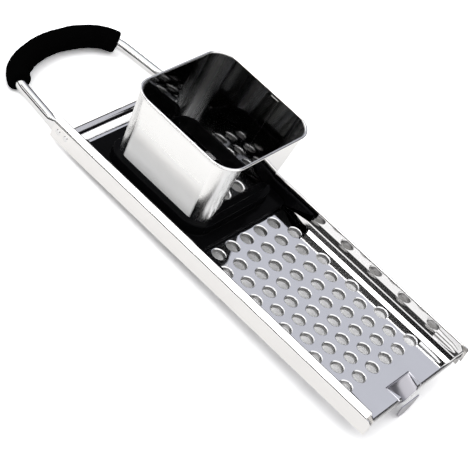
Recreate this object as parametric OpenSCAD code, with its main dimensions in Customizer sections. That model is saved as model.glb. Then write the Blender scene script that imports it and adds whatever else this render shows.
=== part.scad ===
// Spaetzle maker: a perforated steel plate between two folded rails, with a steel hopper
// that slides along it on a black carriage, a bent handle with a foam grip and a pot hook.
// X runs across the plate, +Y towards the handle, +Z up. The origin is under the middle of
// the footprint, at the level of the hook's tip. Inside the modules, z = 0 is the top of the
// plate and y = 0 is the front row of holes.

/* [Plate] */
// Distance between the centres of neighbouring holes
hole_pitch = 13.5; // [11:0.1:15]
// Diameter of the holes
hole_d = 7.9; // [5:0.1:9]
// Rows of holes along the plate
hole_rows = 16; // [8:1:16]
// Clear width between the upright walls of the rails
track_w = 95.6; // [90:0.1:100]
// Thickness of the steel sheet
sheet_t = 0.8; // [0.6:0.1:1]
// From the front row of holes to the front edge of the plate
plate_front = 23; // [20:0.1:25]
// From the front row of holes to the rear edge of the plate
plate_rear = 208.5; // [200:0.1:209]
// How far the drawn collars of the holes hang under the plate
collar_h = 1.2; // [0.5:0.1:2]
// How far the front edge is folded down
front_lip_h = 3; // [1.5:0.1:4]

/* [Rails] */
// From the front row of holes to the front end of the rails
rail_front = 27.5; // [25:0.1:30]
// From the front row of holes to the rear end of the rails
rail_rear = 222; // [218:0.5:225]
// Height of the rails, to the top of their rolled edge
rail_h = 12.3; // [11:0.1:14]
// Half the width over the outer skirts of the rails
skirt_x = 52.5; // [52:0.1:54]
// Height of the outer shoulder, where roof and skirt meet
shoulder_z = 9.1; // [8:0.1:10]

/* [Hook] */
// Width of the pressed trough
trough_w = 24; // [20:0.5:28]
// Depth of the trough at its rear wall
trough_rear_d = 4; // [3:0.1:5]
// Depth of the trough at its front lip
trough_front_d = 7; // [5:0.1:8]
// Width of the hook tongue
tongue_w = 18; // [14:0.1:20]
// How far the tongue's tip hangs under the top of the plate
hook_drop = 17; // [14:0.1:20]

/* [Handle] */
// Diameter of the handle tube
tube_d = 6.7; // [5:0.1:8]
// Height of the handle above the plate
tube_z = 5.4; // [4.5:0.1:6]
// From the front row of holes to the middle of the handle's bow
bow_y = 276.2; // [272:0.1:282]
// Bend radius of the handle's corners
corner_r = 22; // [16:0.5:24]
// Diameter of the foam grip
grip_d = 14.8; // [11:0.1:17]

/* [Hopper] */
// Width of the hopper over its rim
hopper_w = 85.5; // [80:0.1:88]
// Length of the hopper over its rim
hopper_l = 77.9; // [74:0.1:80]
// Height of the rim above the plate
hopper_h = 59.3; // [48:0.1:70]
// Width of the hopper's foot
foot_w = 67.5; // [62:0.1:70]
// Length of the hopper's foot
foot_l = 70; // [66:0.1:71]
// From the front row of holes to the middle of the hopper at rest
hopper_y = 156; // [152:0.1:158]
// Diameter of the rolled rim
rim_d = 1.8; // [1.6:0.1:2.6]

/* [Carriage] */
// Height of the carriage's collar above the plate
collar_top = 11.4; // [10:0.1:12]
// Height of the carriage's flat deck above the plate
deck_top = 4.2; // [3:0.1:5]
// From the front row of holes to the carriage's front edge
deck_front = 111; // [105:0.1:113]
// From the front row of holes to the carriage's rear edge
deck_rear = 204; // [200:0.1:204]
// From the front row of holes to the tips of the glides
nose_front = 92.5; // [85:0.1:105]

/* [Hidden] */
$fn = 48;

row_pitch = hole_pitch * sqrt(3) / 2;
wall_x = track_w / 2;
wall_foot_x = wall_x - 0.9;
wall_out = wall_x + sheet_t;
collar_wall = 0.6;
hole_edge_r = 0.7;
rear_fold_l = 3.8;

// Raised stops at the front of the plate
stop_x = 37;
stop_front = 22.5;
stop_rear = 5;
stop_r = 2.7;
stop_tip_r = 0.9;
stop_sink = 0.7;
stop_wall = 0.7;
stop_mouth = 3;

// Rail section: flange under the plate, wall, rolled edge, roof and skirt
flange_x = 41;
hem_r = 1.1;
hem_x = wall_x + 0.6;
hem_z = rail_h - hem_r;
hem_front = 23.6;
wall_front = 27;
skirt_low = -sheet_t;

// Window in the plate over the hook's trough
window_rear = 14.3;
window_rear_w = 22.7;
window_front_w = 17.5;
lip_front = 26.5;
lip_r = (pow(trough_w / 2, 2) + pow(trough_front_d, 2)) / (2 * trough_front_d);
tongue_lean = 8.7;
tongue_top = trough_front_d + 0.1;
tongue_l = (hook_drop - tongue_top) / cos(tongue_lean);
front_most = lip_front - sheet_t + tongue_l * sin(tongue_lean) + sheet_t * cos(tongue_lean);

// Crossbar behind the plate
bar_r = 2.75;
bar_y = 213;
bar_z = 5;
bar_l = 2 * wall_foot_x + 0.6;

// Handle bow: each leg leans in, turns through a corner and joins one wide arc
leg_lean = 7.3;
leg_x = 49.6;
leg_y = 222;
leg_l = 30.2;
round_y = 229;
round_x = leg_x - (round_y - leg_y) * tan(leg_lean);
round_l = leg_l - (round_y - leg_y) / cos(leg_lean);
corner_x = leg_x - leg_l * sin(leg_lean) - corner_r * cos(leg_lean);
corner_y = leg_y + leg_l * cos(leg_lean) - corner_r * sin(leg_lean);
sag = bow_y - corner_y;
bow_r = (pow(corner_x, 2) + pow(sag, 2) - pow(corner_r, 2)) / (2 * (sag - corner_r));
bow_half = atan2(corner_x, corner_y - bow_y + bow_r);
corner_turn = 90 - bow_half - leg_lean;
grip_skip = 17;

// Flattened ends of the tube, riveted inside the skirts
flat_t = 2;
flat_h = 8.2;
flat_x = 50.5;
flat_z = 4.7;
flat_front = 197;
rivet_y = [211.5, 217.5];
rivet_z = 5.5;
rivet_r = 1;
rivet_head_r = 1.8;
rivet_head_t = 0.4;

// Hopper and carriage
hopper_t = 0.8;
hopper_corner = 14.6;
foot_corner = 11;
rim_z = hopper_h - rim_d / 2;
shell_top_z = rim_z - rim_d / 2 + 0.02;
shell_top_w = hopper_w - 2 * rim_d + 2 * hopper_t;
shell_top_l = hopper_l - 2 * rim_d + 2 * hopper_t;
tab_w = 8;
tab_l = 5;
tab_gap = 0.1;
slide_gap = 0.6;
opening_w = foot_w - 2 * hopper_t - 0.1;
opening_l = foot_l - 2 * hopper_t - 0.1;
opening_corner = foot_corner - hopper_t;
deck_w = 88.6;
deck_corner = 4;
carriage_w = 78.8;
carriage_l = 76;
carriage_corner = 13;
skin = 2.2;
glide_out = 46.6;
glide_h = 9.9;

// From the working frame of the modules to the middle of the footprint
shift_y = (bow_y + grip_d / 2 - front_most) / 2;

module placed() { translate([0, -shift_y, hook_drop]) children(); }
module mirrored() { children(); mirror([1, 0, 0]) children(); }

// Extrudes an outline of x and z from y = -front to y = rear
module along_y(front, rear) {
  translate([0, rear, 0]) rotate([90, 0, 0]) linear_extrude(rear + front) children();
}

// Extrudes an outline of y and z from x = near to x = far
module along_x(near, far) { translate([near, 0, 0]) rotate([90, 0, 90]) linear_extrude(far - near) children(); }

// Rounded rectangle with true arcs
module rounded(w, l, r) {
  square([w - 2 * r, l], center = true);
  square([w, l - 2 * r], center = true);
  for (x = [-1, 1], y = [-1, 1]) translate([x * (w / 2 - r), y * (l / 2 - r)]) circle(r);
}

// Places its children at every hole: rows of six and five by turns
module hole_places() {
  for (row = [0 : hole_rows - 1], i = [0 : 5 - row % 2])
    translate([(i - (5 - row % 2) / 2) * hole_pitch, row * row_pitch, 0]) children();
}

// Raised bead that stops the carriage: it runs out towards the front and is open behind
module stop_bead() {
  difference() {
    translate([stop_x, -stop_rear, -stop_sink]) rotate([90, 0, 0])
      cylinder(r1 = stop_r, r2 = stop_tip_r, h = stop_front - stop_rear);
    translate([stop_x, 1 - stop_rear, -stop_sink]) rotate([90, 0, 0])
      cylinder(r = stop_r - stop_wall, h = stop_mouth + 1);
    translate([stop_x - 5, -stop_front - 5, -5 - sheet_t / 2]) cube([10, 30, 5]);
  }
}

module perforated_plate() {
  color("silver") placed() difference() {
    union() {
      translate([-wall_foot_x, -plate_front, -sheet_t])
        cube([2 * wall_foot_x, plate_front + plate_rear, sheet_t]);
      mirrored() translate([trough_w / 2 + 1.4, -plate_front, -front_lip_h])
        cube([wall_foot_x - trough_w / 2 - 1.4, sheet_t, front_lip_h]);
      translate([0.5 - flange_x, plate_rear - rear_fold_l, -2 * sheet_t])
        cube([2 * flange_x - 1, rear_fold_l, sheet_t + 0.1]);
      mirrored() stop_bead();
      hole_places() translate([0, 0, -sheet_t - collar_h]) cylinder(d = hole_d + 2 * collar_wall, h = collar_h + 0.1);
    }
    hole_places() {
      translate([0, 0, -5]) cylinder(d = hole_d, h = 6);
      translate([0, 0, -hole_edge_r]) cylinder(r1 = hole_d / 2, r2 = hole_d / 2 + 2 * hole_edge_r, h = 2 * hole_edge_r);
    }
    translate([0, 0, -5]) linear_extrude(10) polygon([
      [-window_rear_w / 2, -window_rear], [window_rear_w / 2, -window_rear],
      [window_front_w / 2, -plate_front - 1], [-window_front_w / 2, -plate_front - 1]]);
  }
}

// Side view of an upright strip with its upper front corner rounded off
module upright(front, low, top, corner) {
  translate([-front + corner, low]) square([front - corner + rail_rear, top - low]);
  translate([-front, low]) square([corner + 1, top - low - corner]);
  translate([-front + corner, top - corner]) circle(corner);
}

// Wall that leans outwards from the plate to the rolled edge
module wall() {
  intersection() {
    along_y(wall_front, rail_rear) polygon([
      [wall_foot_x, -2 * sheet_t], [wall_foot_x + sheet_t, -2 * sheet_t],
      [wall_out - 0.1, hem_z], [wall_x - 0.1, hem_z]]);
    along_x(wall_foot_x - 1, wall_out + 1) upright(wall_front, -2 * sheet_t, hem_z, wall_front - hem_front);
  }
}

module rail() {
  difference() {
    union() {
      along_y(plate_front - sheet_t - 0.2, plate_rear)
        translate([flange_x, -2 * sheet_t]) square([wall_foot_x - flange_x + 0.5, sheet_t]);
      wall();
      along_y(hem_front, rail_rear) translate([hem_x, hem_z]) circle(hem_r);
      along_y(hem_front, rail_rear) polygon([
        [hem_x, hem_z + 0.8], [skirt_x - 0.5, shoulder_z + 0.3], [skirt_x, shoulder_z - 0.3],
        [skirt_x - sheet_t, shoulder_z - 0.8], [hem_x, hem_z - 0.2]]);
      along_x(skirt_x - sheet_t, skirt_x) upright(rail_front, skirt_low, shoulder_z - 0.3, 2.5);
    }
    rivet_axis() translate([0, 0, -1]) cylinder(r = rivet_r, h = 3);
  }
}

module right_rail() { color("gainsboro") placed() rail(); }

module left_rail() { color("gainsboro") placed() mirror([1, 0, 0]) rail(); }

// Arc under the line z = 0: the section of the trough
module trough_section(half_w, depth) {
  r = (pow(half_w, 2) + pow(depth, 2)) / (2 * depth);
  intersection() {
    translate([0, r - depth]) circle(r, $fn = 96);
    translate([-half_w, -depth - 0.1]) square([2 * half_w, depth + 0.1 - sheet_t]);
  }
}

module trough_form(t, rear, front) {
  hull() {
    translate([0, -rear, 0]) rotate([90, 0, 0]) linear_extrude(0.1)
      trough_section(trough_w / 2 + t, trough_rear_d + t);
    translate([0, 0.1 - front, 0]) rotate([90, 0, 0]) linear_extrude(0.1)
      trough_section(trough_w / 2 + t, trough_front_d + t);
  }
}

// Half-round trough under the plate's window, with the tongue that hangs over a pot's rim
module pot_hook() {
  color("silver") placed() {
    difference() {
      trough_form(sheet_t, window_rear - sheet_t, lip_front);
      trough_form(0, window_rear, lip_front + 0.1);
    }
    translate([0, sheet_t - lip_front, -tongue_top]) rotate([90 - tongue_lean, 0, 0])
      linear_extrude(sheet_t) difference() {
        union() {
          translate([0, tongue_w / 2 - tongue_l]) circle(tongue_w / 2);
          translate([-tongue_w / 2, tongue_w / 2 - tongue_l]) square([tongue_w, tongue_l - tongue_w / 2 + 4]);
        }
        translate([0, lip_r]) circle(lip_r);
      }
  }
}

module crossbar() {
  color("lightgray") placed() translate([-bar_l / 2, bar_y, bar_z]) rotate([0, 90, 0])
    cylinder(r = bar_r, h = bar_l);
}

// Axes of the two rivets, starting on the inside of the skirt
module rivet_axis() {
  for (y = rivet_y) translate([skirt_x - sheet_t, y, rivet_z]) rotate([0, 90, 0]) children();
}

module handle_rivets() {
  color("lightgray") placed() mirrored() rivet_axis() {
    translate([0, 0, -2.5]) cylinder(r = rivet_r, h = 2.5 + sheet_t + 0.1);
    translate([0, 0, sheet_t]) cylinder(r1 = rivet_head_r, r2 = rivet_head_r - 0.5, h = rivet_head_t);
  }
}

// The bow and corners of the handle with a round section, open inside where bore is given
module bow(r, bore, skip) {
  in_bow() {
    rotate_extrude(angle = bow_half) translate([bow_r, 0]) ring(r, bore);
    translate([bow_r - corner_r, 0, 0]) mirror([0, 1, 0])
      rotate_extrude(angle = corner_turn - skip) translate([corner_r, 0]) ring(r, bore);
  }
}

// Frame at the middle of the wide arc, turned so that the arc's end lies on +X
module in_bow() {
  translate([0, bow_y - bow_r, tube_z]) mirrored() rotate([0, 0, 90 - bow_half]) children();
}

module ring(r, bore) {
  difference() {
    circle(r);
    if (bore > 0) circle(bore);
  }
}

// Flattened end of the tube inside the rail, with its rivet holes
module flat_end() {
  difference() {
    translate([flat_x, flat_front, flat_z]) rotate([-90, 0, 0]) linear_extrude(leg_y - flat_front) {
      square([flat_t, flat_h - flat_t], center = true);
      for (z = [-1, 1]) translate([0, z * (flat_h - flat_t) / 2]) circle(flat_t / 2);
    }
    rivet_axis() translate([0, 0, -3]) cylinder(r = rivet_r, h = 5);
  }
}

module handle_tube() {
  color("silver") placed() {
    bow(tube_d / 2, 0, 0);
    in_bow() translate([bow_r - corner_r, 0, 0]) rotate([0, 0, -corner_turn])
      translate([corner_r, 0.3, 0]) rotate([90, 0, 0]) cylinder(d = tube_d - 0.1, h = round_l + 0.3);
    mirrored() flat_end();
    // From flat to round
    mirrored() hull() {
      for (z = [-1, 1]) translate([flat_x, leg_y - 0.3, flat_z + z * (flat_h - flat_t) / 2])
        rotate([-90, 0, 0]) cylinder(d = flat_t - 0.5, h = 0.1, $fn = 32);
      translate([round_x, round_y, tube_z]) rotate([90, 0, leg_lean]) translate([0, 0, -0.5])
        cylinder(d = tube_d - 0.4, h = 0.2, $fn = 32);
    }
  }
}

module foam_grip() { color("black") placed() bow(grip_d / 2, tube_d / 2, grip_skip); }

// Solid between the foot and the top of the hopper, drawn in by inset on every side
module hopper_form(inset, low, high) {
  hull() {
    translate([0, 0, low]) linear_extrude(0.1)
      rounded(foot_w - 2 * inset, foot_l - 2 * inset, foot_corner - inset, $fn = 40);
    translate([0, 0, high - 0.1]) linear_extrude(0.1)
      rounded(shell_top_w - 2 * inset, shell_top_l - 2 * inset, hopper_corner - inset, $fn = 40);
  }
}

// Four tabs under the foot, on the long walls, each grown by gap
module foot_tabs(gap, inward) {
  for (x = [-1, 1], y = [-1, 1])
    translate([x * (foot_w / 2 - hopper_t / 2 - inward / 2), y * foot_l / 4, collar_top - (tab_l + gap) / 2 + 0.5])
      cube([hopper_t + inward + gap, tab_w + 2 * gap, tab_l + gap + 1], center = true);
}

module hopper_body() {
  color("silver") placed() translate([0, hopper_y, 0]) {
    difference() {
      hopper_form(0, collar_top, shell_top_z);
      hopper_form(hopper_t, collar_top - 0.01, shell_top_z + 0.01);
    }
    foot_tabs(0, 0);
    // Lapped seam on the inside of the right wall
    hull() {
      translate([foot_w / 2 - hopper_t - 0.4, -10, collar_top]) cube([0.6, 6, 0.1]);
      translate([shell_top_w / 2 - hopper_t - 0.4, -10, shell_top_z - 1.5]) cube([0.6, 6, 0.1]);
    }
  }
}

// Rolled rim: four straight beads and four quarter turns
module hopper_rim() {
  w = hopper_w - rim_d;
  l = hopper_l - rim_d;
  r = hopper_corner - rim_d / 2;
  color("white") placed() translate([0, hopper_y, rim_z]) for (a = [0, 180]) rotate([0, 0, a]) {
    translate([w / 2, l / 2 - r, 0]) rotate([90, 0, 0]) cylinder(d = rim_d, h = l - 2 * r);
    translate([r - w / 2, l / 2, 0]) rotate([0, 90, 0]) cylinder(d = rim_d, h = w - 2 * r);
    translate([w / 2 - r, l / 2 - r, 0]) rotate_extrude(angle = 90) translate([r, 0]) circle(d = rim_d);
    translate([r - w / 2, l / 2 - r, 0]) rotate([0, 0, 90])
      rotate_extrude(angle = 90) translate([r, 0]) circle(d = rim_d);
  }
}

module deck_outline(inset) {
  translate([0, (deck_front + deck_rear) / 2])
    rounded(deck_w - 2 * inset, deck_rear - deck_front - 2 * inset, deck_corner - inset);
}

// Low deck with a high collar round the opening, hollow from below
module carriage_base() {
  color("black") placed() difference() {
    union() {
      translate([0, 0, slide_gap]) linear_extrude(deck_top - slide_gap) deck_outline(0);
      translate([0, hopper_y, slide_gap]) linear_extrude(collar_top - slide_gap)
        rounded(carriage_w, carriage_l, carriage_corner);
    }
    translate([0, hopper_y, -1]) linear_extrude(20) rounded(opening_w, opening_l, opening_corner);
    difference() {
      union() {
        translate([0, 0, -1]) linear_extrude(deck_top - skin + 1) deck_outline(skin);
        translate([0, hopper_y, -1]) linear_extrude(collar_top - skin + 1)
          rounded(carriage_w - 2 * skin, carriage_l - 2 * skin, carriage_corner - skin);
      }
      translate([0, hopper_y, -2]) linear_extrude(20)
        rounded(opening_w + 2 * skin, opening_l + 2 * skin, opening_corner + skin);
    }
    translate([0, hopper_y, 0]) foot_tabs(tab_gap, 1);
  }
}

// Glide beside the deck, with a nose that lifts like a ski
module glide() {
  along_x(deck_w / 2, glide_out) polygon([
    [nose_front, glide_h - 0.8], [nose_front, 5.5], [nose_front + 1, 4.9], [nose_front + 6, 3.4],
    [nose_front + 11.5, 2], [nose_front + 16, 1], [nose_front + 20, slide_gap],
    [deck_rear - 1, slide_gap], [deck_rear, slide_gap + 1], [deck_rear, glide_h - 1],
    [deck_rear - 1, glide_h], [nose_front + 0.8, glide_h]]);
}

module right_glide() { color("dimgray") placed() glide(); }

module left_glide() { color("dimgray") placed() mirror([1, 0, 0]) glide(); }

perforated_plate();
left_rail();
right_rail();
pot_hook();
crossbar();
handle_tube();
foam_grip();
handle_rivets();
carriage_base();
left_glide();
right_glide();
hopper_body();
hopper_rim();
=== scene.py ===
import math

import bmesh
import bpy
from mathutils import Matrix, Vector, noise


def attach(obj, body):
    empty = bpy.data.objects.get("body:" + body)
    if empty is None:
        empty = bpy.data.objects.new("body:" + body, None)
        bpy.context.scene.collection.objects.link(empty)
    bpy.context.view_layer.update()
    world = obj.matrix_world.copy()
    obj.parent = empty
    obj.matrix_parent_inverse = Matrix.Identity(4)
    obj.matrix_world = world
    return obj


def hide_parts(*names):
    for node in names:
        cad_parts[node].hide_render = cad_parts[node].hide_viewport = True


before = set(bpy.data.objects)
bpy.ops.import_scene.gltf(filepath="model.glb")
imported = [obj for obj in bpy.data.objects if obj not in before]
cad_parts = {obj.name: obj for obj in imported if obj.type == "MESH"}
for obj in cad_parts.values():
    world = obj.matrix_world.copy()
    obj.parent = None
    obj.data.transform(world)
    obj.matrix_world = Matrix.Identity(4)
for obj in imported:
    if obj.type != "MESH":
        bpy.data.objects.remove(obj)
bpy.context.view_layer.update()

# ---- Perforated plate
# One blank of polished stainless steel sheet. Every hole is drawn down, with a rounded edge above and a short
# collar below. The front edge is folded down beside the window for the hook, the rear edge is folded under.
mm = 0.001
front_row = 127.797  # mm from the front row of holes back to the frame's origin
plate_top = 17  # mm from the plate's upper face down to the frame's origin
hair = 0.01  # slack in mm where corners are picked by their place
sheet = 0.8 * mm  # thickness of the sheet steel


def at(x, y, z):
    """A place in the frame: x across, y from the front row of holes, z from the plate's top, in mm."""
    return Vector((x * mm, (y - front_row) * mm, (z + plate_top) * mm))


def measured(place):
    """The x, y and z of a place in the frame, in mm as for at()."""
    return place.x / mm, place.y / mm + front_row, place.z / mm - plate_top


def new_piece(name):
    """An empty mesh object at the origin, open in edit mode."""
    if bpy.context.object and bpy.context.object.mode != "OBJECT":
        bpy.ops.object.mode_set(mode="OBJECT")
    bpy.ops.object.select_all(action="DESELECT")
    bpy.ops.mesh.primitive_plane_add(location=(0, 0, 0))
    bpy.context.object.name = name
    bpy.ops.object.mode_set(mode="EDIT")
    bpy.ops.mesh.delete(type="VERT")
    return bpy.context.object


def pick(kind, test):
    """Selects the verts, edges or faces whose corners all pass the test, given in mm as for at()."""
    bpy.ops.mesh.select_mode(type=kind)
    bpy.ops.mesh.select_all(action="DESELECT")
    form = bmesh.from_edit_mesh(bpy.context.object.data)
    for part in {"VERT": form.verts, "EDGE": form.edges, "FACE": form.faces}[kind]:
        corners = [part] if kind == "VERT" else part.verts
        if all(test(*measured(corner.co)) for corner in corners):
            part.select_set(True)
    form.select_flush_mode()
    bmesh.update_edit_mesh(bpy.context.object.data)


def remove(kind, test):
    """Deletes the verts, edges or faces that pass the test."""
    pick(kind, test)
    bpy.ops.mesh.delete(type=kind)


def cut(test, place, turn):
    """Cuts the faces that pass the test by the plane through a place whose normal is turn."""
    pick("FACE", test)
    bpy.ops.mesh.bisect(plane_co=place, plane_no=turn)


def pull(x, y, z):
    """Extrudes what is selected by a step in mm."""
    bpy.ops.mesh.extrude_region_move(TRANSFORM_OT_translate={"value": (x * mm, y * mm, z * mm)})


def repeat(x, y, z):
    """Copies what is selected by a step in mm."""
    bpy.ops.mesh.duplicate_move(TRANSFORM_OT_translate={"value": (x * mm, y * mm, z * mm)})


def resize(x, y, z, middle):
    """Scales what is selected about a place."""
    bpy.ops.transform.resize(value=(x, y, z), center_override=middle)


def face_outwards():
    """Selects the whole piece and turns its faces outwards."""
    bpy.ops.mesh.select_all(action="SELECT")
    bpy.ops.mesh.normals_make_consistent(inside=False)


def modify(kind, **settings):
    """Adds a modifier to the piece and applies it."""
    bpy.ops.object.mode_set(mode="OBJECT")
    made = bpy.context.object.modifiers.new(kind.title(), kind)
    for name, value in settings.items():
        setattr(made, name, value)
    bpy.ops.object.modifier_apply(modifier=made.name)


def round_edges(width, angle, segments=3):
    """Rounds the edges that turn by more than an angle in degrees, to a width in mm."""
    modify("BEVEL", limit_method="ANGLE", angle_limit=math.radians(angle),
           width=width * mm, segments=segments)


def done(piece, material, body, nodes, crisp=False):
    """Shades the finished piece, and tells the frame what it rides on and which solids it stands for."""
    if piece.mode != "OBJECT":
        bpy.ops.object.mode_set(mode="OBJECT")
    bpy.ops.object.shade_smooth_by_angle(angle=math.radians(35))
    if crisp:
        modify("WEIGHTED_NORMAL", keep_sharp=True)
    piece.data.materials.clear()
    piece.data.materials.append(material)
    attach(piece, body)
    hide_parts(*nodes)


class Shade:
    """A socket of a material. Python's operators on it add Math nodes, and node() adds any other."""

    def __init__(self, tree, socket=None):
        self.tree, self.socket = tree, socket

    def node(self, kind, settings, values, output=0):
        """Adds a node, with its settings and the values or links of its sockets, and gives an output."""
        made = self.tree.nodes.new(kind)
        for name, value in settings.items():
            if name == "stops":
                while len(made.color_ramp.elements) < len(value):
                    made.color_ramp.elements.new(0.5)
                for element, (place, level) in zip(made.color_ramp.elements, value):
                    element.position, element.color = place, (level, level, level, 1)
            else:
                setattr(made, name, value)
        for key, value in values.items():
            if isinstance(value, Shade):
                self.tree.links.new(value.socket, made.inputs[key])
            else:
                made.inputs[key].default_value = value
        return Shade(self.tree, made.outputs[output])

    def math(self, operation, left, right=0.0):
        return self.node("ShaderNodeMath", {"operation": operation}, {0: left, 1: right})

    def mix(self, factor, first, second, blend="MIX"):
        """The colour between two, or the first one changed by the second as the blend says."""
        settings = {"data_type": "RGBA", "blend_type": blend}
        return self.node("ShaderNodeMix", settings, {0: factor, 6: first, 7: second}, 2)

    def climb(self, start, end, low=0.0, high=1.0):
        """Goes evenly from low to high while this goes from start to end, and stays level outside."""
        return self.node("ShaderNodeMapRange", {}, {0: self, 1: start, 2: end, 3: low, 4: high})

    def part(self, axis):
        """One part of a vector: 0 is across, 1 along and 2 up."""
        return self.node("ShaderNodeSeparateXYZ", {}, {"Vector": self}, axis)

    def __add__(self, other):
        return self.math("ADD", self, other)

    __radd__ = __add__

    def __sub__(self, other):
        return self.math("SUBTRACT", self, other)

    def __rsub__(self, other):
        return self.math("SUBTRACT", other, self)

    def __mul__(self, other):
        return self.math("MULTIPLY", self, other)

    __rmul__ = __mul__


def finish_of(name, **values):
    """A material, its Principled shader with these values, and a Shade of its object coordinates."""
    material = bpy.data.materials.new(name)
    material.use_nodes = True
    tree = material.node_tree
    shader = tree.nodes["Principled BSDF"]
    for key, value in values.items():
        shader.inputs[key.replace("_", " ")].default_value = value
    place = Shade(tree).node("ShaderNodeTexCoord", {}, {}, "Object")
    return material, shader, place


def feed(shader, **shades):
    """Links each Shade to the shader's socket of that name."""
    for name, shade in shades.items():
        shade.tree.links.new(shade.socket, shader.inputs[name.replace("_", " ")])


def grains(place, scale, detail, stretch=(1, 1, 1)):
    """Soft noise in the object's own metres, drawn out where stretch is small."""
    turned = place.node("ShaderNodeMapping", {}, {"Vector": place, "Scale": stretch})
    return turned.node("ShaderNodeTexNoise", {}, {"Vector": turned, "Scale": scale, "Detail": detail}, 0)


def steel(name, colour, roughness, smear, ripple, drawn=0):
    """Polished steel sheet: faint smears in the gloss, and the slight waviness that bends reflections."""
    material, shader, place = finish_of(name, Metallic=1.0)
    smears = grains(place, 60, 3, stretch=(1, 0.35, 1))
    rolled = grains(place, 900, 2, stretch=(1, 0.02, 0.3))
    waves = grains(place, 25, 1)
    rough = roughness + smear * (smears - 0.4) + smear * 0.5 * (rolled - 0.5)
    smeared = [0.93 * part for part in colour]
    tone = place.mix(smears, (*colour, 1), (*smeared, 1))
    if drawn:
        # The metal is rougher where it was stretched, in the collars and folds just below the surface, and
        # its colour is darkened there as painted shade.
        below = place.part(2).climb(at(0, 0, -0.3).z, at(0, 0, -3.5).z)
        depth_shade_stops = ((0, 1), (0.14, 0.35), (0.5, 0.65), (1, 0.95))
        painted_depth_shade = below.node("ShaderNodeValToRGB", {"stops": depth_shade_stops}, {0: below})
        rough = rough + drawn * below
        tone = tone.mix(1.0, tone, painted_depth_shade, "MULTIPLY")
    height = waves + 0.02 * rolled
    bump = place.node("ShaderNodeBump", {}, {"Strength": ripple, "Distance": 0.4 * mm, "Height": height})
    feed(shader, Base_Color=tone, Roughness=rough, Normal=bump)
    return material


plate_steel = steel("plate_steel", (0.92, 0.92, 0.93), roughness=0.06, smear=0.03, ripple=0.12, drawn=0.4)
plate = new_piece("perforated_plate_sheet")
pitch, row_step, rows = 13.5, 11.6913, 16
hole_edge, draw, collar_depth = 4.75, 0.8, 2.6

# One hexagon of the sheet with its drawn hole, then a copy for every other hole.
first_x = -2.5 * pitch
first_hole = at(first_x, 0, 0)
bpy.ops.mesh.primitive_circle_add(vertices=6, radius=pitch / math.sqrt(3) * mm, location=first_hole)
bpy.ops.mesh.subdivide(number_cuts=5)
bpy.ops.mesh.primitive_circle_add(vertices=36, radius=hole_edge * mm, location=first_hole)
bpy.ops.mesh.select_all(action="SELECT")
bpy.ops.mesh.bridge_edge_loops()
pick("EDGE", lambda x, y, z: math.hypot(x - first_x, y) < hole_edge + 0.1)
reach, depth = hole_edge, 0
for angle in range(18, 91, 18):
    narrower = hole_edge - draw * math.sin(math.radians(angle))
    deeper = draw * (1 - math.cos(math.radians(angle)))
    pull(0, 0, depth - deeper)
    resize(narrower / reach, narrower / reach, 1, first_hole)
    reach, depth = narrower, deeper
pull(0, 0, depth - collar_depth)
resize(0.95, 0.95, 1, first_hole)
bpy.ops.mesh.select_mode(type="VERT")
bpy.ops.mesh.select_all(action="SELECT")
for row in range(rows):
    # Rows of six go to the right, and rows of five go back to the left.
    for hole in range(5 - row % 2):
        repeat(-pitch if row % 2 else pitch, 0, 0)
    if row < rows - 1:
        repeat(-pitch / 2, row_step, 0)
bpy.ops.mesh.select_all(action="SELECT")
bpy.ops.mesh.remove_doubles(threshold=0.02 * mm)

# The margin round the holes.
plate_width, plate_front, plate_rear = 93.8, -23, 208.5
middle = at(0, (plate_front + plate_rear) / 2, 0)
bpy.ops.mesh.primitive_plane_add(size=1, location=middle)
resize(plate_width * mm, (plate_rear - plate_front) * mm, 1, middle)
bpy.ops.mesh.delete(type="ONLY_FACE")
form = bmesh.from_edit_mesh(plate.data)
bpy.ops.mesh.select_mode(type="EDGE")
bpy.ops.mesh.select_all(action="DESELECT")
for edge in form.edges:
    lowest = min(measured(corner.co)[2] for corner in edge.verts)
    if len(edge.link_faces) < 2 and lowest > -hair:
        edge.select_set(True)
bmesh.update_edit_mesh(plate.data)
bpy.ops.mesh.fill()
face_outwards()
form = bmesh.from_edit_mesh(plate.data)
if sum(face.normal.z for face in form.faces) < 0:
    bpy.ops.mesh.flip_normals()

# The window over the hook, cut out of the front margin and narrower towards the front.
window_rear, window_half, window_front_half = -14.3, 11.35, 8.75
taper = (window_half - window_front_half) / (window_rear - plate_front)
for place, turn in ((at(window_half, window_rear, 0), (1, -taper, 0)),
                    (at(-window_half, window_rear, 0), (1, taper, 0)),
                    (at(0, window_rear, 0), (0, 1, 0))):
    cut(lambda x, y, z: y < 1, place, turn)
remove("FACE", lambda x, y, z: y < window_rear + hair
       and abs(x) < window_half + hair + taper * (y - window_rear))

# The folds: a rounded lip down at the front beside the window, and a flange under at the rear.
lip_bend, lip_drop = ((0.9, 0.15), (0.6, 0.4), (0.35, 0.65), (0.1, 0.9)), 1.4
flange_drop, flange_reach = 1.6, 3.8
pick("EDGE", lambda x, y, z: y < plate_front + hair and abs(x) > window_front_half - hair)
for forward, down in lip_bend:
    pull(0, -forward, -down)
pull(0, 0, -lip_drop)
pick("EDGE", lambda x, y, z: y > plate_rear - hair)
pull(0, 0, -flange_drop)
pull(0, -flange_reach, 0)
round_edges(0.5, 50)
modify("SOLIDIFY", thickness=sheet, offset=-1)
done(plate, plate_steel, "frame", ["perforated_plate"], crisp=True)

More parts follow.
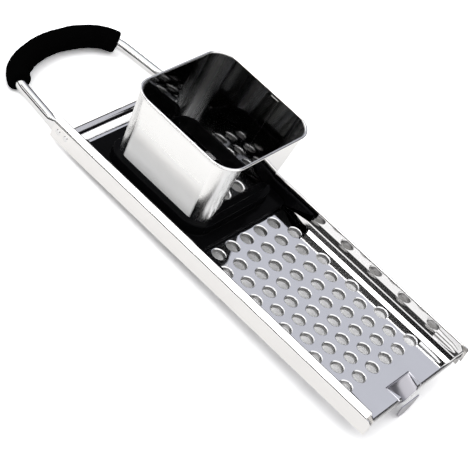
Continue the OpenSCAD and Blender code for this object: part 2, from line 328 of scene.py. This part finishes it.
# ---- Stops
# Two beads pressed up out of the plate near the front. They are cut open towards the
# carriage, which they stop, and run out in a slope towards the front edge.
upright = (math.pi / 2, 0, 0)
stops = new_piece("plate_stops")
stop_x, stop_rear, stop_z = 37, -5, -0.4
stop_radius, stop_thickness = 2.4, 0.6
for x in (-stop_x, stop_x):
    y = stop_rear
    bpy.ops.mesh.primitive_circle_add(vertices=32, radius=stop_radius * mm, location=at(x, y, stop_z),
                                      rotation=upright)
    for length, narrower, lower in ((12, 0.75, 0.75), (4, 0.6, 0.45)):
        y -= length
        pull(0, -length, 0)
        resize(narrower, 1, lower, at(x, y, stop_z))
    bpy.ops.mesh.edge_face_add()
bpy.ops.mesh.select_all(action="SELECT")
bpy.ops.mesh.bisect(plane_co=at(0, 0, stop_z + 0.1), plane_no=(0, 0, -1), clear_outer=True)
face_outwards()
modify("SOLIDIFY", thickness=stop_thickness * mm, offset=-1)
done(stops, plate_steel, "frame", ["perforated_plate"])

# ---- Side rails
# Strips of mirror-finished steel. Each is folded round the plate's edge, up into a wall,
# over a rolled edge, down a sloping roof and into an outer skirt.
rail_steel = steel("rail_steel", (0.90, 0.89, 0.88), roughness=0.05, smear=0.03, ripple=0.1)
rail_front, rail_rear = -27.5, 222
roof_front, flange_front, wall_front = -23.6, -22.2, -27

# The section of the right rail, in points (x, z) from the flange under the plate out to the skirt.
flange = [(41, -1.2), (47.3, -1.2)]
wall = [(47.32, 1.3), (47.33, 1.5), (47.36, 2.1), (47.39, 2.3), (47.82, 5.7), (47.84, 5.9), (48.07, 10.8)]
roll_x, roll_z, roll_radius = 48.72, 11.25, 0.65
turns = [math.radians(angle) for angle in (180, 155, 130, 105, 80, 60)]
roll = [(roll_x + roll_radius * math.cos(turn), roll_z + roll_radius * math.sin(turn)) for turn in turns]
skirt = [(52.1, 9.2), (52.1, -0.8)]

# Where faces are picked: the roof lies above one height, the flange under another, and flange and
# wall both lie within a distance from the middle.
roof_low, flange_high, wall_out = 8.8, -1.1, 49


def fold_strip(section, front, rear):
    """A strip of sheet from front to rear, bent along a section of (x, z) points."""
    length = rear - front
    x, z = section[0]
    bpy.ops.mesh.primitive_plane_add(size=length * mm, location=at(x + length / 2, (front + rear) / 2, z))
    remove("VERT", lambda px, py, pz: px > x + length / 2)
    bpy.ops.mesh.select_all(action="SELECT")
    for across, up in section[1:]:
        pull(across - x, 0, up - z)
        x, z = across, up


def everywhere(x, y, z):
    return True


def on_wall(x, y, z):
    """Whether a place is on the front end of the wall."""
    return 46 < abs(x) < 48.2 and y < -20


def on_skirt(x, y, z):
    """Whether a place is on the front end of the skirt."""
    return abs(x) > 52 and y < -20


# The rounded front corners, as cuts: what is cut, a place (y, z) and the way out (y, z).
front_corners = ((on_wall, -24.6, 9.7, -0.6, 0.8),
                 (on_wall, -26.3, 8.2, -0.9, 0.43),
                 (on_skirt, -26.4, 8.9, -0.6, 0.8))
for side, node in ((-1, "left_rail"), (1, "right_rail")):
    rail = new_piece(node + "_strip")
    fold_strip([(side * x, z) for x, z in flange + wall + roll + skirt], rail_front, rail_rear)
    # The roof starts behind the wall and the skirt, whose corners are rounded.
    for y in (roof_front, flange_front, wall_front, plate_rear):
        cut(everywhere, at(0, y, 0), (0, 1, 0))
    for test, y, z, out_y, out_z in front_corners:
        cut(test, at(0, y, z), (0, out_y, out_z))
    remove("FACE", lambda x, y, z: z > roof_low and y < roof_front + hair)
    remove("FACE", lambda x, y, z: z < flange_high and (y < flange_front + hair or y > plate_rear - hair))
    remove("FACE", lambda x, y, z: abs(x) < wall_out and y < wall_front + hair)
    for test, corner_y, corner_z, out_y, out_z in front_corners:
        remove("FACE", lambda x, y, z: test(x, y, z)
               and out_y * (y - corner_y) + out_z * (z - corner_z) > -hair)
    round_edges(0.55, 40)
    modify("SOLIDIFY", thickness=sheet, offset=0)
    done(rail, rail_steel, "frame", [node], crisp=True)

# ---- Pot hook
# A half-round trough pressed from sheet and welded under the window, with a rounded
# tongue that hangs outside the rim of a pot.
# Its steel is coloured much darker than the plate's, as painted shade in the trough under the window.
hook_steel = steel("hook_steel", (0.5, 0.49, 0.53), roughness=0.3, smear=0.05, ripple=0.2)


def corner_count():
    return len(bmesh.from_edit_mesh(bpy.context.object.data).verts)


def bridge(*levels):
    """Joins two loops by a band of faces, each loop given as the range of its corners' numbers."""
    skin = bpy.context.object.data
    bpy.ops.mesh.select_mode(type="VERT")
    bpy.ops.mesh.select_all(action="DESELECT")
    form = bmesh.from_edit_mesh(skin)
    for corner in form.verts:
        corner.select_set(any(corner.index in level for level in levels))
    form.select_flush(True)
    bmesh.update_edit_mesh(skin)
    bpy.ops.mesh.bridge_edge_loops()


hook = new_piece("pot_hook_pressing")
arcs = []
# The trough's half-rounds: y, half width and depth.
for y, half, deep in ((window_rear, 12, 3.6), (-16, 12, 4.6), (-22, 11.8, 6.4), (-24.7, 11.8, 7)):
    radius = (half * half + deep * deep) / (2 * deep)
    bpy.ops.mesh.select_mode(type="VERT")
    before = corner_count()
    bpy.ops.mesh.primitive_circle_add(vertices=3, radius=mm, location=at(-half, y, 0))
    bpy.ops.mesh.merge(type="CENTER")
    sweep = 2 * math.asin(half / radius)
    bpy.ops.mesh.spin(steps=24, angle=sweep, center=at(0, y, radius - deep), axis=(0, 1, 0))
    arcs.append(range(before, corner_count()))
for pair in zip(arcs, arcs[1:]):
    bridge(*pair)
# The rear wall closes the trough.
pick("EDGE", lambda x, y, z: y > window_rear - 0.1)
pull(0, 0, 0)
resize(1, 1, 0, at(0, window_rear, 0))
modify("SOLIDIFY", thickness=sheet, offset=0)
done(hook, hook_steel, "frame", ["pot_hook"])

# The tongue hangs from the trough's front lip.
tongue = new_piece("pot_hook_tongue")
tongue_y, tongue_z, tongue_radius, tongue_rise = -27.4, -8, 9, 3.4
bpy.ops.mesh.primitive_circle_add(vertices=48, radius=tongue_radius * mm, location=at(0, tongue_y, tongue_z),
                                  rotation=upright)
remove("VERT", lambda x, y, z: z > tongue_z + 0.1)
pick("VERT", lambda x, y, z: z > tongue_z - 0.1)
pull(0, 0, tongue_rise)
bpy.ops.mesh.select_all(action="SELECT")
bpy.ops.mesh.edge_face_add()
modify("SOLIDIFY", thickness=sheet, offset=0)
done(tongue, hook_steel, "frame", ["pot_hook"])

# ---- Crossbar
# A plain round bar between the rails, behind the plate. It is the solid itself, and
# has the rails' finish.


def coat(node, material):
    """Gives a solid of the frame its finish."""
    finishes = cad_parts[node].data.materials
    finishes.clear()
    finishes.append(material)


coat("crossbar", rail_steel)

# ---- Handle
# One steel tube, bent round in a wide bow. Its ends are pressed flat, pushed into the
# rails and riveted to the skirts.
tube_steel = steel("tube_steel", (0.84, 0.84, 0.84), roughness=0.09, smear=0.04, ripple=0.05)
coat("handle_rivets", tube_steel)
bow_y, bow_z = 276.2, 5.4
arc_radius, arc_turn = 81.380, 23.777
corner_x, corner_y, corner_turn = 23.941, 249.160, 58.92


def bow_bar(radius, sides, turn, steps):
    """Spins a ring from the bow's middle round its wide arc, and then round the right corner by a turn."""
    bpy.ops.mesh.primitive_circle_add(vertices=sides, radius=radius * mm, location=at(0, bow_y, bow_z),
                                      rotation=(0, math.pi / 2, 0))
    arc_middle, corner_middle = at(0, bow_y - arc_radius, bow_z), at(corner_x, corner_y, bow_z)
    for degrees, middle in ((arc_turn, arc_middle), (turn, corner_middle)):
        bpy.ops.mesh.spin(steps=steps, angle=math.radians(degrees), center=middle, axis=(0, 0, 1))


def narrow(*factors):
    """Scales the selected ring about its own middle."""
    ring = [corner.co for corner in bmesh.from_edit_mesh(bpy.context.object.data).verts if corner.select]
    resize(*factors, sum(ring, Vector()) / len(ring))


def mirrored():
    """Mirrors half a bar to the left, caps its ends and turns its faces outwards."""
    modify("MIRROR", use_axis=(True, False, False), merge_threshold=0.05 * mm)
    bpy.ops.object.mode_set(mode="EDIT")
    bpy.ops.mesh.select_all(action="SELECT")
    bpy.ops.mesh.fill_holes(sides=0)
    face_outwards()
    bpy.ops.object.mode_set(mode="OBJECT")


tube = new_piece("handle_tube_bent")
tube_radius, hidden_end = 3.35, 25
bow_bar(tube_radius, 24, corner_turn, 14)
# The legs lean outwards up to the rails, are pressed flatter in four steps, and run straight in.
lean = math.tan(math.radians(7.3))
for along in (21, 2):
    pull(along * lean, -along, 0)
for along, flat, tall in ((1.5, 0.92, 1.03), (2, 0.75, 1.08), (2, 0.6, 1.06), (1.5, 0.72, 1.03)):
    pull(0.35, -along, -0.12)
    narrow(flat, 1, tall)
pull(0, -hidden_end, 0)
mirrored()
done(tube, tube_steel, "frame", ["handle_tube"])

# ---- Grip
# A sleeve of black foam, pulled over the bow. Its cut ends are a little rounded, and it
# is slightly wrinkled where it bends.
foam, shader, place = finish_of("black_foam", Specular_IOR_Level=0.0, Base_Color=(0.0015, 0.0015, 0.0015, 1))
cells = grains(place, 2600, 2)
dents = grains(place, 500, 3)
bump = place.node("ShaderNodeBump", {}, {"Strength": 0.5, "Distance": 0.5 * mm, "Height": cells + dents})
feed(shader, Roughness=0.75 + 0.3 * cells, Normal=bump)
grip = new_piece("foam_grip_sleeve")
grip_radius, grip_turn = 7.1, 37.5
bow_bar(grip_radius, 40, grip_turn, 40)
heading = math.radians(arc_turn + grip_turn)
for step, size in ((0.7, 0.96), (0.5, 0.93), (0.3, 0.88), (0.1, 0.8)):
    pull(step * math.cos(heading), -step * math.sin(heading), 0)
    narrow(size, size, size)
mirrored()
for corner in grip.data.vertices:
    x, y, z = corner.co / mm
    bulge = noise.noise(Vector((x, y, z)) * 0.09)
    wrinkle = noise.noise(Vector((x * 0.35, y * 0.35, z * 0.1)))
    corner.co += corner.normal * (0.5 * bulge + 0.35 * wrinkle) * mm * 0.6
done(grip, foam, "frame", ["foam_grip"])

# ---- Carriage
# A glossy black moulding: a low deck with rounded corners, and a high collar that
# carries the hopper. Its opening goes straight through to the plate.
black, shader, place = finish_of("black_moulding", Specular_IOR_Level=0.02,
                                 Base_Color=(0.003, 0.003, 0.0035, 1))
feed(shader, Roughness=0.08 + 0.12 * grains(place, 150, 4))
hopper_y = 156
deck_foot, deck_top, collar_top = 0.6, 4.2, 11.4

# Width, length, corner radius and y.
deck = (88.6, 93, 4, 157.5)
collar = (78.8, 76, 13, hopper_y)
opening = (65.8, 68.3, 10.2, hopper_y)


def stack(levels, ring=False):
    """Rounded rectangles (width, length, corner radius, y, z), bridged one to the next into a skin,
    and as a ring also the last to the first. They are bridged far apart, then set to their heights."""
    apart, counts = 20 * mm, [0]
    for step, (width, length, corner, y, z) in enumerate(levels):
        middle = at(0, y, z) + Vector((0, 0, step * apart))
        bpy.ops.mesh.select_mode(type="VERT")
        bpy.ops.mesh.primitive_plane_add(size=1, location=middle)
        resize(width * mm, length * mm, 1, middle)
        bpy.ops.mesh.bevel(offset=corner * mm, segments=10, affect="VERTICES", clamp_overlap=False)
        bpy.ops.mesh.delete(type="ONLY_FACE")
        counts.append(corner_count())
    loops = [range(low, high) for low, high in zip(counts, counts[1:])]
    for pair in list(zip(loops, loops[1:])) + ([(loops[0], loops[-1])] if ring else []):
        bridge(*pair)
    skin = bpy.context.object.data
    form = bmesh.from_edit_mesh(skin)
    for corner in form.verts:
        corner.co.z -= apart * next(step for step, loop in enumerate(loops) if corner.index in loop)
    bmesh.update_edit_mesh(skin)
    face_outwards()


carriage = new_piece("carriage_moulding")
stack([(*deck, deck_foot), (*deck, deck_top), (*collar, deck_top), (*collar, collar_top),
       (*opening, collar_top), (*opening, deck_foot)], ring=True)
round_edges(0.7, 50, segments=4)
done(carriage, black, "slider", ["carriage_base"], crisp=True)

# ---- Glides
# Upright runners at the deck's sides, held down by the rails' rolled edges. Their noses
# reach forward and lift like skis.
glide_x, glide_thickness = 44.3, 2.3
nose = [(92.5, 9.1), (92.5, 5.5), (93.5, 4.9), (98.5, 3.4), (104, 2), (108.5, 1), (112.5, 0.6)]
tail = [(203, 0.6), (204, 1.6), (204, 8.9), (203, 9.9), (93.3, 9.9)]
for side, node in ((-1, "left_glide"), (1, "right_glide")):
    glide = new_piece(node + "_runner")
    bpy.ops.mesh.primitive_circle_add(vertices=len(nose + tail), radius=mm, fill_type="NGON",
                                      location=at(side * glide_x, 100, 5))
    form = bmesh.from_edit_mesh(glide.data)
    for corner, (y, z) in zip(form.verts, nose + tail):
        corner.co = at(side * glide_x, y, z)
    bmesh.update_edit_mesh(glide.data)
    bpy.ops.mesh.select_all(action="SELECT")
    pull(side * glide_thickness, 0, 0)
    face_outwards()
    round_edges(0.35, 60)
    done(glide, black, "slider", [node], crisp=True)

# ---- Hopper
# A flared box with rounded corners, bent from one strip of mirror-finished sheet that
# laps over itself on one long side. The upper edge is rolled outwards.
hopper_steel = steel("hopper_steel", (0.98, 0.98, 0.975), roughness=0.04, smear=0.03, ripple=0.2)
hopper_top = 58.4
flare = 0.1479  # how far a long face leans out for each mm of height
inside_foot, outside_foot = 34.3, 34.6  # mm from the middle, at the foot of a long face

# The inside is painted darker than the outside, as painted shade inside the hopper.
tree = hopper_steel.node_tree
shader = tree.nodes["Principled BSDF"]
place = Shade(tree).node("ShaderNodeTexCoord", {}, {}, "Object")
facing = Shade(tree).node("ShaderNodeTexCoord", {}, {}, "Normal")
across, along, height = (place.part(axis) for axis in (0, 1, 2))
facing_x, facing_y = (facing.part(axis) for axis in (0, 1))
outward = across * facing_x + (along - at(0, hopper_y, 0).y) * facing_y
inside = place.math("LESS_THAN", outward, 0.0)
tone = Shade(tree, shader.inputs["Base Color"].links[0].from_socket)
tone = tone.mix(1.0, tone, 1 - 0.5 * inside, "MULTIPLY")

# The foot of the two long faces is brushed to a satin, which fades out upwards, and the bent
# corners are dull too.
height = height - at(0, 0, collar_top).z
leaning = place.math("ABSOLUTE", across) - flare * height
long_face = leaning.climb(inside_foot * mm, outside_foot * mm)
satin = height.climb(9 * mm, 20 * mm, 0.85, 0.05)
fade = height.climb(4 * mm, 40 * mm, 0.62, 0.0)
bend = place.math("ABSOLUTE", facing_x * facing_y)
rough = Shade(tree, shader.inputs["Roughness"].links[0].from_socket) + 0.5 * bend + long_face * fade
feed(shader, Base_Color=tone, Metallic=1 - long_face * satin, Roughness=rough)
hopper = new_piece("hopper_shell")
hopper_foot, hopper_mouth = (69.6, 71.2, 11.5, hopper_y), (83.5, 75.9, 13.8, hopper_y)
stack([(*hopper_foot, collar_top), (*hopper_mouth, hopper_top)])
modify("SOLIDIFY", thickness=sheet, offset=-1)
done(hopper, hopper_steel, "slider", ["hopper_body"], crisp=True)

# The strip's lapped end, a flat band inside the right wall that leans out with it.
seam = new_piece("hopper_lapped_seam")
seam_middle = at(34, 149, 34.4)
seam_thickness, seam_width, seam_height, seam_lean = 0.8, 6, 45.8, 6.77
bpy.ops.mesh.primitive_cube_add(size=mm, location=seam_middle)
resize(seam_thickness, seam_width, seam_height, seam_middle)
pick("FACE", lambda x, y, z: z > 50)
bpy.ops.transform.translate(value=(seam_lean * mm, 0, 0))
round_edges(0.15, 60, segments=2)
done(seam, hopper_steel, "slider", ["hopper_body"], crisp=True)

# The sheet's upper edge, rolled outwards into a bead.
rim_steel = steel("rim_steel", (0.94, 0.94, 0.935), roughness=0.04, smear=0.03, ripple=0.2)
rim_radius = 0.9
new_piece("hopper_rolled_rim")
stack([(83.7, 76.1, 13.7, hopper_y, hopper_top)])
bpy.ops.object.mode_set(mode="OBJECT")
bpy.ops.object.convert(target="CURVE")
bpy.context.object.data.bevel_depth = rim_radius * mm
bpy.context.object.data.bevel_resolution = 4
bpy.ops.object.convert(target="MESH")
done(bpy.context.object, rim_steel, "slider", ["hopper_rim"])

# ---- Floor, lights and camera
# A plain table that the tool lies on, touching it with the tongue and the grip. It is
# white to the camera and in the steel, pale as a light, and keeps the tool's shadow.
tongue_place, grip_distance, grip_rise = -28, 296, 15  # mm
bpy.ops.object.select_all(action="DESELECT")
bpy.ops.mesh.primitive_plane_add(size=30, location=(0, at(0, tongue_place, 0).y, -0.3 * mm),
                                 rotation=(math.atan2(grip_rise, grip_distance), 0, 0))
floor = bpy.context.object
floor.name = "table_top"


def rays(wire):
    """Shades that are 1 for the rays of the camera, of reflections and of glass."""
    names = ("Is Camera Ray", "Is Glossy Ray", "Is Transmission Ray")
    return [wire.node("ShaderNodeLightPath", {}, {}, name) for name in names]


paint, shader, place = finish_of("white_table", Roughness=0.9)
direct, mirrored_ray, through = rays(place)
plain = place.mix(mirrored_ray, (0.8, 0.8, 0.81, 1), (1.05, 1.04, 1.03, 1))
white = place.mix(place.math("MAXIMUM", direct, through), plain, (1.85, 1.85, 1.87, 1))
feed(shader, Base_Color=white)
floor.data.materials.append(paint)

# The room is white, a little dimmer as a light than as it is seen, and brighter in reflections.
world = bpy.data.worlds.new("studio")
bpy.context.scene.world = world
world.use_nodes = True
sky = world.node_tree.nodes["Background"]
sky.inputs["Color"].default_value = (1, 1, 1, 1)
wire = Shade(world.node_tree)
direct, mirrored_ray, through = rays(wire)
seen = wire.math("MAXIMUM", wire.math("MAXIMUM", direct, mirrored_ray), through)
feed(sky, Strength=0.75 + 0.25 * seen + 0.2 * mirrored_ray)

# Far cards that show only in reflections: a black one on the camera's side gives the rails their
# dark bands, a grey one opposite tones the plate, a black one beside that darkens the plate in
# front of the carriage, a dark one low down edges bent metal, and a wide dark one behind the
# camera stands for the room, which shows inside the hopper. Each has its distance in metres, its
# bearing and height in degrees, its half width and half height in degrees, and its colour.
nearly_black = (0.005, 0.005, 0.005)
cards = (("black_card", 1.6, 160, 43, 31, 7, nearly_black),
         ("grey_card", 8, 18, 38, 37, 13, (0.58, 0.59, 0.65)),
         ("side_card", 8, -36, 33, 16, 10, nearly_black),
         ("low_card", 7.5, 5, 13.5, 60, 13.5, (0.06, 0.06, 0.065)),
         ("room_card", 9, 165, 14, 55, 12, (0.03, 0.03, 0.03)))
for name, distance, bearing, rise, half_width, half_height, colour in cards:
    bearing, rise = math.radians(bearing), math.radians(rise)
    level = math.cos(rise)
    toward = Vector((math.cos(bearing) * level, math.sin(bearing) * level, math.sin(rise)))
    bpy.ops.mesh.primitive_plane_add(size=2 * distance, location=distance * toward,
                                     rotation=toward.to_track_quat("Z", "Y").to_euler())
    card = bpy.context.object
    card.name = name
    spread = (math.tan(math.radians(half_width)), math.tan(math.radians(half_height)), 1)
    bpy.ops.transform.resize(value=spread, orient_type="LOCAL")
    bpy.ops.object.transform_apply(location=False, rotation=False, scale=True)
    felt, shader, place = finish_of(name + "_felt", Roughness=1.0, Specular_IOR_Level=0,
                                    Base_Color=(0, 0, 0, 1),
                                    Emission_Color=(*colour, 1), Emission_Strength=1)
    card.data.materials.append(felt)
    card.visible_camera = card.visible_diffuse = card.visible_shadow = False

# One soft lamp, high up on the left and towards the handle.
lamp_place = Vector((-0.9, 0.5, 1.3))
bpy.ops.object.light_add(type="AREA", location=lamp_place)
lamp = bpy.context.object
lamp.data.size = 0.9
lamp.data.energy = 9
lamp.rotation_euler = lamp_place.to_track_quat("Z", "Y").to_euler()

# The camera, as fitted to the rows of holes in the photograph with their pitch taken as 12 mm.
picture_width, focal_length = 470, 1868.7151  # pixels
fitted_pitch, fitted_place = 12, (-704.26, -156.16, 597.11)
azimuth, elevation, twist = (math.radians(angle) for angle in (-70.00603587, 38.72975481, 30.49201754))
level = math.cos(elevation)
ahead = Vector((-math.sin(azimuth) * level, math.cos(azimuth) * level, -math.sin(elevation)))
aside = ahead.cross(Vector((0, 0, 1))).normalized()
above = aside.cross(ahead)
right = math.cos(twist) * aside + math.sin(twist) * above
up = -math.sin(twist) * aside + math.cos(twist) * above
bpy.ops.object.camera_add(location=at(*(part * pitch / fitted_pitch for part in fitted_place)))
camera = bpy.context.object
camera.matrix_world = Matrix.Translation(camera.location) @ Matrix((right, up, -ahead)).transposed().to_4x4()
camera.data.sensor_width = 36
camera.data.lens = focal_length / picture_width * camera.data.sensor_width
camera.data.clip_end = 60
bpy.context.scene.camera = camera
bpy.context.scene.view_settings.view_transform = "Standard"
